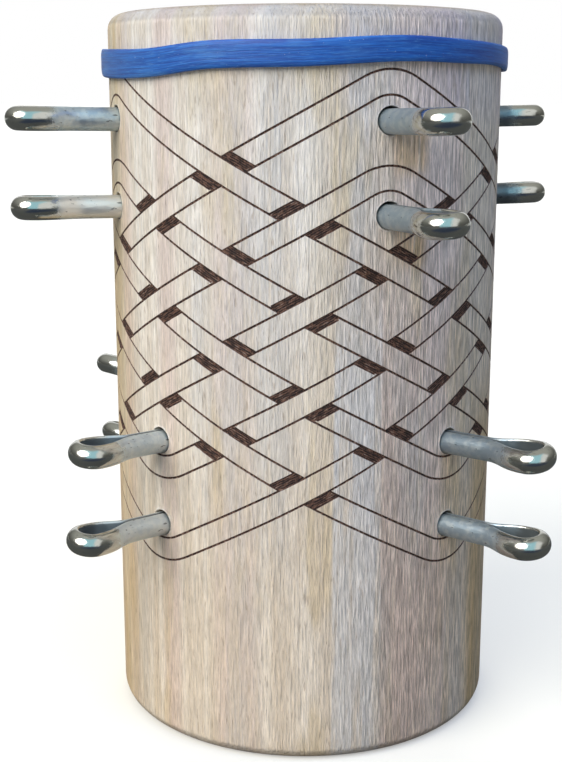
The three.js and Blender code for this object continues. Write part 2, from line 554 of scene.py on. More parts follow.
@dataclass(frozen=True)
class ZincFinish:
    """Zinc plate: bright where the eye is bent and dull, scuffed and bluish along the legs."""

    bright: Colour = colour(196, 197, 190)
    dull: Colour = colour(178, 197, 208)
    dark: Colour = colour(70, 74, 78)
    # Painted shade on the wire's inner flats, over a duller, less plated finish there.
    bare_and_shaded: Colour = colour(88, 102, 108)
    white_bloom: Colour = colour(216, 225, 224)
    chalky: Colour = colour(240, 241, 235)
    border: Grain = Grain((1, 1, 1), 420, 4, 0.6)
    border_play: float = 5
    leg_span: Span = (2.8, 6.2, 1, 0)
    cloud: Grain = Grain((1, 1, 1), 900, 4, 0.6, (0.2, 0, 0.4))
    bloom_span: Span = (0.42, 0.62, 0, 0.6)
    scratch: Grain = Grain((0.12, 2.4, 2.4), 2.2, 3, 0.65)
    nick: Grain = Grain((0.5, 1.6, 1.6), 1.5, 2, 0.5, (3, 5, 0))
    nick_span: Span = (0.66, 0.72)
    eye_stain: float = 0.22
    leg_stain: float = 0.5
    bare_and_shaded_share: float = 0.75
    # Painted shade and grime in the split between the legs.
    split_shade_span: Span = (0.42, 0.1, 0, 0.8)
    leg_rough: float = 0.26
    bare_rough: float = 0.2
    cloud_rough: Span = (0.35, 0.7, 0.1, 0.19)
    leg_metal: float = 0.84
    bare_metal: float = 0.7
    scratch_relief: Span = (0.00006, 0.25)
    nick_relief: Span = (0.0002, 0.35)

    def material(self) -> bpy.types.Material:
        """Builds the plated steel. It reads each pin's own place, in millimetres along the pin.

        Returns:
            The material.
        """
        b = Bench(bpy.data.materials.new("zinc_plate"))
        spot = b.attribute("pin_place", "Vector")
        along, aside, _ = b.axes(spot)
        inside = b.attribute("inside")
        ragged = b.math("SUBTRACT", self.border.on(b), 0.5)
        leg = b.span(b.plus(along, ragged, self.border_play), *self.leg_span)
        cloud, scratch, nick = self.cloud.on(b), self.scratch.on(b, spot), self.nick.on(b, spot)
        tone = b.product(b.attribute("plating_and_light_tone"), leg)
        stain = b.plus(self.eye_stain, leg, self.leg_stain)
        shade = b.mix(leg, self.bright, self.dull)
        for share, tint in (
            (b.product(leg, b.span(cloud, *self.bloom_span)), self.white_bloom),
            # Each pin's own tone: partly its plating, partly painted shade on darker pins and
            # painted light on paler ones.
            (b.span(tone, 0, 1), self.chalky),
            (b.span(tone, 0, -1), self.dark),
            # Painted shade on the wire's inner flats, over a duller, less plated finish there.
            (b.product(inside, self.bare_and_shaded_share), self.bare_and_shaded),
            (b.product(stain, b.span(nick, *self.nick_span)), self.dark),
            # Painted shade and grime in the split between the legs.
            (b.product(b.span(b.math("ABSOLUTE", aside), *self.split_shade_span), leg), self.dark),
        ):
            shade = b.mix(share, shade, tint)
        rough = b.plus(b.span(cloud, *self.cloud_rough), leg, self.leg_rough)
        rough = b.plus(rough, inside, self.bare_rough)
        metal = b.span(inside, 0, 1, 1, self.bare_metal)
        metal = b.product(b.span(leg, 0, 1, 1, self.leg_metal), metal)
        nicked = (b.product(leg, nick), *self.nick_relief)
        normal = b.relief((scratch, *self.scratch_relief), nicked)
        look = {"Base Color": shade, "Metallic": metal, "Roughness": rough}
        return b.finish({**look, "Normal": normal})


DEEP_BLUE = colour(16, 72, 154)
FADED_BLUE = colour(84, 146, 204)


@dataclass(frozen=True)
class RubberFinish:
    """Blue rubber, cut from a tube, with lengthwise streaks and a dusting of white specks."""

    blue: Colour = colour(32, 109, 195)
    streak: Grain = Grain((0.09, 3.2, 1), 1, 4, 0.62)
    streak_span: Span = (0.36, 0.64)
    fine: Grain = Grain((0.5, 7, 1), 1, 3, 0.6, (9, 3, 0))
    cloud: Grain = Grain((0.12, 0.3, 1), 1, 3, 0.5, (4, 7, 0))
    speck: Grain = Grain((2.6, 5.2, 1), 1, 2, 0.5, (2, 5, 0))
    worn: Wash = Wash(FADED_BLUE, 0.52, 0.72, 0.55)
    veined: Wash = Wash(DEEP_BLUE, 0.46, 0.3, 0.6)
    # Greyer towards the band's left and right sides.
    greyer_sides: Wash = Wash(colour(112, 128, 148), 0.018, 0.034, 0.28)
    cloudy: Wash = Wash(FADED_BLUE, 0.5, 0.7, 0.3)
    dusted: Wash = Wash(colour(206, 216, 228), 0.71, 0.78, 0.75)
    rough_span: Span = (0.3, 0.7, 0.46, 0.62)
    streak_relief: Span = (0.00012, 0.5)
    fine_relief: Span = (0.00006, 0.5)
    ior: float = 1.52

    def material(self) -> bpy.types.Material:
        """Builds the rubber. Its streaks follow the band by the band's own UV map, in millimetres.

        Returns:
            The material.
        """
        b = Bench(bpy.data.materials.new("blue_rubber"))
        strip = b.node("UVMap", uv_map="along_the_band").outputs[0]
        streak, fine = self.streak.on(b, strip), self.fine.on(b, strip)
        side = b.math("ABSOLUTE", b.axes(b.own_place())[0])
        shade = b.mix(b.span(streak, *self.streak_span), DEEP_BLUE, self.blue)
        for wash, pattern in (
            (self.worn, fine),
            (self.veined, fine),
            # Greyer towards the band's left and right sides.
            (self.greyer_sides, side),
            (self.cloudy, self.cloud.on(b, strip)),
            (self.dusted, self.speck.on(b, strip)),
        ):
            shade = wash.over(b, pattern, shade)
        rough = b.span(fine, *self.rough_span)
        normal = b.relief((streak, *self.streak_relief), (fine, *self.fine_relief))
        look = {"Base Color": shade, "Roughness": rough, "Normal": normal}
        return b.finish({**look, "IOR": self.ior})


# Pieces


def add_object(name: str, data: bpy.types.ID) -> bpy.types.Object:
    """Puts a mesh, lamp or camera into the scene.

    Args:
        name: The object's name.
        data: The mesh, lamp or camera.

    Returns:
        The object, at the origin.
    """
    made = bpy.data.objects.new(name, data)
    bpy.context.scene.collection.objects.link(made)
    return made


def register_piece(
    name: str, bm: BMesh, finish: bpy.types.Material, slot: Slot, node: str, crease: float
) -> None:
    """Makes a finished bmesh the piece that stands for a CAD node.

    Args:
        name: The piece's name.
        bm: The piece in millimetres, in its place. It is freed here.
        finish: The piece's material.
        slot: The slot for the material. It is not used.
        node: The CAD node that it replaces, which is also its body's name.
        crease: Edges that turn by more than this many degrees stay sharp.
    """
    bmesh.ops.scale(bm, vec=(MM, MM, MM), verts=bm.verts)
    mesh = bpy.data.meshes.new(name)
    bm.to_mesh(mesh)
    bm.free()
    mesh.shade_smooth()
    mesh.set_sharp_from_angle(angle=math.radians(crease))
    mesh.materials.append(finish)
    piece = add_object(name, mesh)
    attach(piece, node)
    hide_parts(node)
    log.info("%s: %d faces, stands for %s", name, len(mesh.polygons), node)


def around(angle: float, radius: float, height: float) -> Vector:
    """Gives the point at an angle round the mandrel, in degrees from the viewer's side."""
    turn = math.radians(angle)
    return Vector((radius * math.sin(turn), -radius * math.cos(turn), height))


def pick(items: Iterable, kind: type) -> list:
    """Lists the items of one kind."""
    return [item for item in items if isinstance(item, kind)]


def everything(bm: BMesh) -> list:
    """Lists all corners, edges and faces of a mesh."""
    return [*bm.verts, *bm.edges, *bm.faces]


def open_edges(bm: BMesh, near: Callable[[Vector], bool]) -> list[BMEdge]:
    """Lists the open edges that have both ends near a place."""
    return [e for e in bm.edges if e.is_boundary and all(near(v.co) for v in e.verts)]


def extend(bm: BMesh, loop: Iterable[BMEdge]) -> tuple[list[BMVert], list[BMEdge]]:
    """Extrudes open edges in place, and gives the new corners and the new open edges."""
    made = bmesh.ops.extrude_edge_only(bm, edges=list(loop))["geom"]
    return pick(made, BMVert), pick(made, BMEdge)


def cut_off(bm: BMesh, point: Triple, beyond: Triple) -> None:
    """Takes off what lies beyond a plane through a point."""
    plane = {"plane_co": point, "plane_no": beyond}
    bmesh.ops.bisect_plane(bm, geom=everything(bm), **plane, clear_outer=True)


def round_corners(bm: BMesh, corners: Iterable[BMVert], offset: float, steps: int) -> None:
    """Rounds corners of a flat outline, and takes its face away.

    Args:
        bm: The mesh, which holds only the outline and its face.
        corners: The corners.
        offset: How far from a corner its round starts.
        steps: How many edges a round has.
    """
    bmesh.ops.bevel(
        bm,
        geom=list(corners),
        offset=offset,
        offset_type="OFFSET",
        segments=steps,
        profile=0.5,
        affect="VERTICES",
        material=-1,
    )
    bmesh.ops.delete(bm, geom=list(bm.faces), context="FACES_ONLY")


@dataclass(frozen=True, eq=False)
class SunkPlace:
    """A place on a sheet that is sunk below its surface.

    Attributes:
        sides: The sides of its convex outline, each as a point and the direction inwards.
        profile: Gives the depth at a point.
        lean: Which way its strokes climb, or 0 where it has none.
    """

    sides: tuple[Side, ...]
    profile: Depth
    lean: int

    def covers(self, point: Vector, slack: float) -> bool:
        """Tells whether a point lies inside, or outside by no more than the slack."""
        return all((point - start).dot(inward) >= -slack for start, inward in self.sides)


class Graver:
    """Cuts outlines into a flat sheet in X and Z, and notes how deep each place is sunk."""

    SNAP = 0.003

    def __init__(self, sheet: BMesh, cell: tuple[float, float]) -> None:
        """Files the sheet's faces by cell, so that a cut finds the faces near it.

        Args:
            sheet: The sheet. Its faces never cross a cell's border.
            cell: The width and height of a cell.
        """
        self.sheet = sheet
        self.cell = cell
        self.sunk = self.layer("sunk")
        self.lean = self.layer("lean")
        self.cells: dict[Cell, dict[BMFace, None]] = {}
        self.places: dict[Cell, list[SunkPlace]] = {}
        for face in sheet.faces:
            self.file(face)

    def layer(self, name: str) -> bmesh.types.BMLayerItem:
        """Gives the layer of that name in the sheet's corners, and adds it where there is none."""
        layers = self.sheet.verts.layers.float
        return layers.get(name) or layers.new(name)

    def key(self, point: Vector) -> Cell:
        """Gives the cell that a point lies in."""
        return (math.floor(point.x / self.cell[0]), math.floor(point.z / self.cell[1]))

    def file(self, face: BMFace) -> None:
        """Files one face under its cell."""
        self.cells.setdefault(self.key(face.calc_center_median()), {})[face] = None

    def keys(self, outline: Sequence[Vector]) -> list[Cell]:
        """Lists the cells that an outline's box touches.

        Args:
            outline: The outline's corners.

        Returns:
            The cells.
        """
        low = self.key(Vector((min(p.x for p in outline), 0, min(p.z for p in outline))))
        high = self.key(Vector((max(p.x for p in outline), 0, max(p.z for p in outline))))
        return [(i, j) for i in range(low[0], high[0] + 1) for j in range(low[1], high[1] + 1)]

    def cut(self, faces: Iterable[BMFace], point: Vector, normal: Vector) -> list[BMFace]:
        """Cuts faces along a line of the sheet.

        Args:
            faces: The faces to cut.
            point: A point of the line.
            normal: The direction across the line.

        Returns:
            Every face that these have become.
        """
        whole = dict.fromkeys(faces)
        if not whole:
            return []
        edges = dict.fromkeys(edge for face in whole for edge in face.edges)
        verts = dict.fromkeys(vert for face in whole for vert in face.verts)
        result = bmesh.ops.bisect_plane(
            self.sheet,
            geom=[*verts, *edges, *whole],
            dist=self.SNAP,
            plane_co=point,
            plane_no=normal,
        )
        made = pick(result["geom"], BMFace)
        for face in made:
            self.file(face)
        return made

    def sides(self, outline: Sequence[Vector]) -> list[Side]:
        """Lists the sides of a convex outline.

        Args:
            outline: The outline's corners, in order.

        Returns:
            Each side as a point and the direction inwards.
        """
        middle = sum(outline, Vector()) / len(outline)
        sides = []
        for start, end in zip(outline, [*outline[1:], outline[0]]):
            inward = (end - start).cross(DEPTH_AXIS).normalized()
            if inward.dot(middle - start) < 0:
                inward.negate()
            sides.append((start, inward))
        return sides

    def note(self, outline: Sequence[Vector], profile: Depth, lean: int = 0) -> None:
        """Notes how deep the sheet is to be sunk inside an outline.

        Args:
            outline: The outline's corners, in order.
            profile: Gives the depth at a point.
            lean: Which way the strokes there climb, or 0.
        """
        place = SunkPlace(tuple(self.sides(outline)), profile, lean)
        for key in self.keys(outline):
            self.places.setdefault(key, []).append(place)

    def clip(self, outline: Sequence[Vector]) -> list[BMFace]:
        """Cuts a convex outline into the sheet.

        Args:
            outline: The outline's corners, in order.

        Returns:
            The faces inside the outline.
        """
        near: dict[BMFace, None] = {}
        for key in self.keys(outline):
            near.update(self.cells.get(key, {}))
        sides = self.sides(outline)
        faces = [
            face
            for face in near
            if all(
                max((v.co - start).dot(inward) for v in face.verts) > self.SNAP
                for start, inward in sides
            )
        ]
        for start, inward in sides:
            cut = self.cut(faces, start, inward)
            faces = [face for face in cut if (face.calc_center_median() - start).dot(inward) > 0]
        return faces

    def sink(self) -> None:
        """Sinks each corner by the deepest place noted there. It comes after the last cut."""
        reach = 2 * self.SNAP
        offsets = [Vector((x, 0, z)) for x in (-reach, reach) for z in (-reach, reach)]
        for vert in self.sheet.verts:
            keys = dict.fromkeys(self.key(vert.co + offset) for offset in offsets)
            for place in dict.fromkeys(place for key in keys for place in self.places.get(key, ())):
                if place.covers(vert.co, self.SNAP):
                    vert[self.sunk] = max(vert[self.sunk], place.profile(vert.co))
                    vert[self.lean] = vert[self.lean] or place.lean


@dataclass(frozen=True)
class Burr:
    """The burnt line that outlines a strand: a groove with sloping walls and a flat floor."""

    width: float = 0.38
    floor_width: float = 0.2
    depth: float = 0.12

    def engrave(self, graver: Graver, path: Sequence[Vector], ways: Sequence[Vector]) -> None:
        """Cuts the line along a path.

        Args:
            graver: The sheet to cut.
            path: The points of the line's middle.
            ways: The direction across the line at each point, as long as the mitre there needs.
        """
        half = self.width / 2
        for i in range(len(path) - 1):
            start, end = path[i], path[i + 1]
            start_way, end_way = ways[i], ways[i + 1]
            outline = [
                start + start_way * half,
                end + end_way * half,
                end - end_way * half,
                start - start_way * half,
            ]
            faces = graver.clip(outline)
            across = (end - start).cross(DEPTH_AXIS).normalized()
            for side in (1, -1):
                faces = graver.cut(faces, start + start_way * (side * self.floor_width / 2), across)
            graver.note(outline, self.profile(start, across))

    def profile(self, start: Vector, across: Vector) -> Depth:
        """Gives the groove's depth by the distance from its middle.

        Args:
            start: A point of the line's middle.
            across: The direction across the line.

        Returns:
            The depth at a point.
        """
        slope = self.depth / ((self.width - self.floor_width) / 2)

        def depth(point: Vector) -> float:
            """Gives the depth at a point."""
            away = abs((point - start).dot(across))
            return max(0.0, min(self.depth, (self.width / 2 - away) * slope))

        return depth


@dataclass(frozen=True)
class Strand:
    """One straight strand of the guide, in the unrolled plane.

    Attributes:
        number: Its number round the mandrel, even for the strands of the outer top bights.
        lean: Which way it climbs.
        origin: The point where its middle line meets the guide's top.
        way: The direction that it runs in, towards +X.
    """

    number: int
    lean: Lean
    origin: Vector
    way: Vector

    @property
    def across(self) -> Vector:
        """The direction across the strand, towards +Z."""
        return Vector((-self.way.z, 0, self.way.x))

    def along(self, point: Vector) -> float:
        """Gives how far along the strand a point lies."""
        return (point - self.origin).dot(self.way)

    def on_edge(self, place: float, offset: float) -> Vector:
        """Gives the point at a place along the strand, at an offset across it."""
        return self.origin + self.way * place + self.across * offset


@dataclass(frozen=True)
class Crossing:
    """A crossing of two strands: the one that lies over, the one under, and their middle."""

    over: Strand
    under: Strand
    middle: Vector


@dataclass
class KnotGuide:
    """The lattice of strands that shows the cord's way, as lines and hatched shades.

    It is cut into a flat tile that is one bight wide, and starts at 0 round the mandrel.
    """

    radius: float = MANDREL_RADIUS
    top: float = 105.25
    bights: int = 4
    step: float = GUIDE_STEP
    rows: float = 5.5
    first_column: float = 22.5
    strand_width: float = 3.56
    top_turn: float = 6.8
    base_turn: float = 8.8
    turn_steps: int = 9
    shade_length: float = 1.6
    hatch_lines: int = 5
    hatch_depth: float = 0.16
    ridge_depth: float = 0.09
    stroke_play: float = 0.16
    last_stroke_play: float = 0.352
    stroke_overrun: float = 0.4
    stroke_end: float = 0.1
    burr: Burr = Burr()

    def __post_init__(self) -> None:
        """Works out what the sizes give together."""
        self.circumference = 2 * math.pi * self.radius
        self.bight_width = self.circumference / self.bights
        self.slope = math.atan2(self.step, self.bight_width / 2)
        self.half = self.strand_width / 2
        self.pitch = self.shade_length / self.hatch_lines
        self.strands = [
            self.strand(number, lean) for lean in Lean for number in range(2 * self.bights)
        ]
        self.crossings = self.find_crossings()

    def strand(self, number: int, lean: Lean) -> Strand:
        """Lays out one strand.

        Args:
            number: Its number round the mandrel.
            lean: Which way it climbs.

        Returns:
            The strand.
        """
        first = self.radius * math.radians(self.first_column)
        origin = Vector((first + number * self.bight_width / 2, 0, self.top))
        way = Vector((math.cos(self.slope), 0, lean.value * math.sin(self.slope)))
        return Strand(number, lean, origin, way)

    def row(self, strand: Strand, end: End) -> float:
        """Gives the row of the bight at one end of a strand.

        Args:
            strand: The strand.
            end: The end.

        Returns:
            The row, counted from the guide's top.
        """
        if end is End.TOP:
            return float(strand.number % 2)
        outer = (strand.number % 2 == 0) == (strand.lean is Lean.RISING)
        return self.rows if outer else self.rows - 1

    def turn_radius(self, end: End) -> float:
        """Gives the radius of the bights' rounds at one end."""
        return self.top_turn if end is End.TOP else self.base_turn

    def turn_centre(self, strand: Strand, end: End) -> Vector:
        """Gives the middle of the round at one end of a strand.

        Args:
            strand: The strand.
            end: The end.

        Returns:
            The middle.
        """
        row = self.row(strand, end)
        aside = -strand.lean.value * row * self.bight_width / 2
        apex = strand.origin + Vector((aside, 0, -row * self.step))
        return apex - Vector((0, 0, end.value * self.turn_radius(end) / math.cos(self.slope)))

    def find_crossings(self) -> list[Crossing]:
        """Finds every place where a strand lies over another.

        Returns:
            The crossings.
        """
        found = []
        for rising in self.strands[: 2 * self.bights]:
            for gap in range(1, int(2 * self.rows)):
                falling = self.strand(rising.number - gap, Lean.FALLING)
                row = gap / 2
                pair = (rising, falling)
                if all(self.row(s, End.TOP) < row < self.row(s, End.BASE) for s in pair):
                    across = (falling.origin.x + rising.origin.x) / 2
                    middle = Vector((across, 0, self.top - row * self.step))
                    even = (rising.number + falling.number) % 2 == 0
                    over, under = (falling, rising) if even else (rising, falling)
                    found.append(Crossing(over, under, middle))
        return found

    def breaks(self, strand: Strand, offset: float) -> list[tuple[float, float]]:
        """Lists where a strand's edge is hidden, as distances along it, and its two ends.

        Args:
            strand: The strand.
            offset: How far the edge lies from its middle.

        Returns:
            Hidden stretches in order. The first and last reach past the ends.
        """
        ends = sorted(strand.along(self.turn_centre(strand, end)) for end in End)
        hidden = [(-math.inf, ends[0]), (ends[1], math.inf)]
        for crossing in self.crossings:
            over, under = crossing.over, crossing.under
            ahead = strand.number - under.number
            if under.lean is not strand.lean or ahead % (2 * self.bights):
                continue
            shift = Vector((ahead * self.bight_width / 2, 0, 0))
            centre = strand.along(crossing.middle + shift)
            rate = strand.way.dot(over.across)
            skew = offset * strand.across.dot(over.across)
            hidden.append(tuple(sorted(centre + (s * self.half - skew) / rate for s in (1, -1))))
        return sorted(hidden)

    def engrave(self, graver: Graver) -> None:
        """Cuts the whole guide into the tile.

        Args:
            graver: The tile.
        """
        for strand in self.strands:
            for side in (1, -1):
                self.engrave_edge(graver, strand, side * self.half)
            if strand.lean is Lean.RISING:
                for end in End:
                    self.engrave_turn(graver, strand, end)
        for crossing in self.crossings:
            for side in (1, -1):
                self.engrave_shade(graver, crossing, side)

    def images(self, points: Sequence[Vector]) -> list[Vector]:
        """Lists the whole turns round the mandrel that bring points onto the tile.

        Args:
            points: The points.

        Returns:
            How far the points move for each.
        """
        moves = [Vector((turn * self.circumference, 0, 0)) for turn in (-1, 0, 1, 2)]
        low, high = min(p.x for p in points), max(p.x for p in points)
        return [m for m in moves if high + m.x > 0 and low + m.x < self.bight_width]

    def engrave_edge(self, graver: Graver, strand: Strand, offset: float) -> None:
        """Cuts one edge of a strand, where no other strand lies over it.

        Args:
            graver: The tile.
            strand: The strand.
            offset: How far the edge lies from its middle.
        """
        hidden = self.breaks(strand, offset)
        for before, after in zip(hidden, hidden[1:]):
            if after[0] <= before[1]:
                continue
            ends = [strand.on_edge(before[1], offset), strand.on_edge(after[0], offset)]
            for move in self.images(ends):
                self.burr.engrave(graver, [p + move for p in ends], [strand.across] * 2)

    def engrave_turn(self, graver: Graver, strand: Strand, end: End) -> None:
        """Cuts the two rounds of the bight at one end of a strand.

        Args:
            graver: The tile.
            strand: The strand.
            end: The end.
        """
        centre = self.turn_centre(strand, end)
        leans = [self.slope * (2 * i / self.turn_steps - 1) for i in range(self.turn_steps + 1)]
        spokes = [Vector((math.sin(lean), 0, end.value * math.cos(lean))) for lean in leans]
        for side in (1, -1):
            radius = self.turn_radius(end) + side * self.half
            path = [centre + spoke * radius for spoke in spokes]
            for move in self.images(path):
                self.burr.engrave(graver, [p + move for p in path], spokes)

    def engrave_shade(self, graver: Graver, crossing: Crossing, side: int) -> None:
        """Cuts the hatched shade on the lower strand, beside one edge of the upper one.

        Args:
            graver: The tile.
            crossing: Where the strands cross.
            side: Which edge of the upper strand, 1 or -1.
        """
        over, under, middle = crossing.over, crossing.under, crossing.middle
        along = under.way / under.way.dot(over.across)
        beside = over.way / over.way.dot(under.across)
        hand = self.hand(crossing, side)
        for i in range(self.hatch_lines):
            play = self.last_stroke_play if i == self.hatch_lines - 1 else self.stroke_play
            start = hand.uniform(-self.stroke_overrun, 1) * play - self.half
            end = self.half - hand.uniform(-self.stroke_overrun, 1) * play
            near = side * (self.half + i * self.pitch)
            far = side * (self.half + (i + 1) * self.pitch)
            corners = [
                middle + along * reach + beside * offset
                for reach, offset in ((near, start), (near, end), (far, end), (far, start))
            ]
            for move in self.images(corners):
                outline = [corner + move for corner in corners]
                faces = graver.clip(outline)
                groove = over.across * (side * (self.half + (i + 0.5) * self.pitch))
                faces = graver.cut(faces, middle + move + groove, over.across)
                for stop, inward in ((start, 1), (end, -1)):
                    place = middle + move + beside * (stop + inward * self.stroke_end)
                    faces = graver.cut(faces, place, under.across)
                moved = Crossing(over, under, middle + move)
                graver.note(outline, self.stroke(moved, side, i, (start, end)), over.lean.value)

    def hand(self, crossing: Crossing, side: int) -> random.Random:
        """Gives the engraver's unsteadiness at one shade, alike in all quarters of the mandrel.

        Args:
            crossing: Where the strands cross.
            side: Which edge of the upper strand, 1 or -1.

        Returns:
            The seeded generator.
        """
        over, under = crossing.over, crossing.under
        rising, falling = (over, under) if over.lean is Lean.RISING else (under, over)
        return random.Random(8 * (rising.number - falling.number) + 4 * (rising.number % 2) + side)

    def stroke(self, crossing: Crossing, side: int, number: int, stops: Span) -> Depth:
        """Gives the depth of one stroke of a shade: deep in its middle and shallow at its rim.

        Args:
            crossing: Where the strands cross.
            side: Which edge of the upper strand, 1 or -1.
            number: The stroke's number, counted from the upper strand.
            stops: Where the stroke starts and ends, across the lower strand.

        Returns:
            The depth at a point.
        """
        across = crossing.over.across * side
        outermost = number == self.hatch_lines - 1

        def depth(point: Vector) -> float:
            """Gives the depth at a point.

            Args:
                point: The point.

            Returns:
                The depth there.
            """
            spot = point - crossing.middle
            reach = (spot.dot(across) - self.half) / self.pitch - number
            rim = 0.0 if outermost and reach > 0.5 else self.ridge_depth
            groove = self.hatch_depth + (rim - self.hatch_depth) * min(1.0, abs(reach - 0.5) * 2)
            place = spot.dot(crossing.under.across)
            inside = min(place - stops[0], stops[1] - place) / self.stroke_end
            return groove * max(0.0, min(1.0, inside))

        return depth


@dataclass(frozen=True)
class PinSeat:
    """Where one split pin sits.

    Attributes:
        name: The pin's node.
        height: The height of its hole's mouth.
        climb: How much its hole rises on the way out, in degrees.
        column: Its angle round the mandrel.
        stand_out: How far its eye stands out of the wood.
        roll: How far it is turned in its hole, in degrees. Above 0 its anticlockwise side is up.
        tone: How pale its legs look: from -1, dark, to 1, pale. It is partly the plating, partly
            painted shade and painted light.
    """

    name: str
    height: float
    climb: float
    column: float
    stand_out: float
    roll: float
    tone: float

    def frame(self, radius: float) -> Matrix:
        """Gives the hole's frame: its origin is the middle of the mouth, and +X points out of it.

        Args:
            radius: The mandrel's radius.

        Returns:
            The frame.
        """
        turn = Matrix.Rotation(math.radians(self.column - 90), 4, "Z")
        climb = Matrix.Rotation(math.radians(-self.climb), 4, "Y")
        return turn @ Matrix.Translation((radius, 0, self.height)) @ climb


@dataclass(frozen=True)
class PinLayout:
    """The four rings of pins: an outer and an inner one near each end, a step of the guide apart.

    The heights are those of the outer rings' mouths. An end's pins are the stand-outs, rolls and
    tones of its outer ring, and then of its inner one.
    """

    step: float = GUIDE_STEP
    top_height: float = 98.95
    top_climb: float = 1
    top_columns: Span = (22.5, 112.5, 202.5, 292.5)
    top_pins: tuple[Table, Table] = (
        ((19.2, 14, 16.5, 17.3), (2, -1, 2, -1), (-0.3, -0.6, 0, 0.25)),
        ((19.6, 14.8, 17, 17), (3, -2.5, -2, 1), (-0.3, -0.7, 0.1, 0.95)),
    )
    base_height: float = 36.4
    base_climb: float = 2.5
    base_columns: Span = (45, 135, 229.5, 315)
    base_pins: tuple[Table, Table] = (
        ((19, 17.2, 19.5, 17.5), (5, -2, 16, -5), (-0.2, 0.2, 0, 0.45)),
        ((19.2, 16.8, 20.5, 16.6), (9, 2, 18, -4), (-0.35, -0.2, 0.1, 0.35)),
    )

    def seats(self) -> list[PinSeat]:
        """Lists the seats of all sixteen pins.

        Returns:
            The seats, ring by ring.
        """
        seats = []
        for i, row in enumerate(("outer", "inner")):
            sink, rise = self.top_height - i * self.step, self.base_height + i * self.step
            for ring, height, climb, columns, pins in (
                (f"top_{row}_pin", sink, self.top_climb, self.top_columns, self.top_pins[i]),
                (f"base_{row}_pin", rise, self.base_climb, self.base_columns, self.base_pins[i]),
            ):
                for number, place in enumerate(zip(columns, *pins), 1):
                    seats.append(PinSeat(f"{ring}_{number}", height, climb, *place))
        return seats


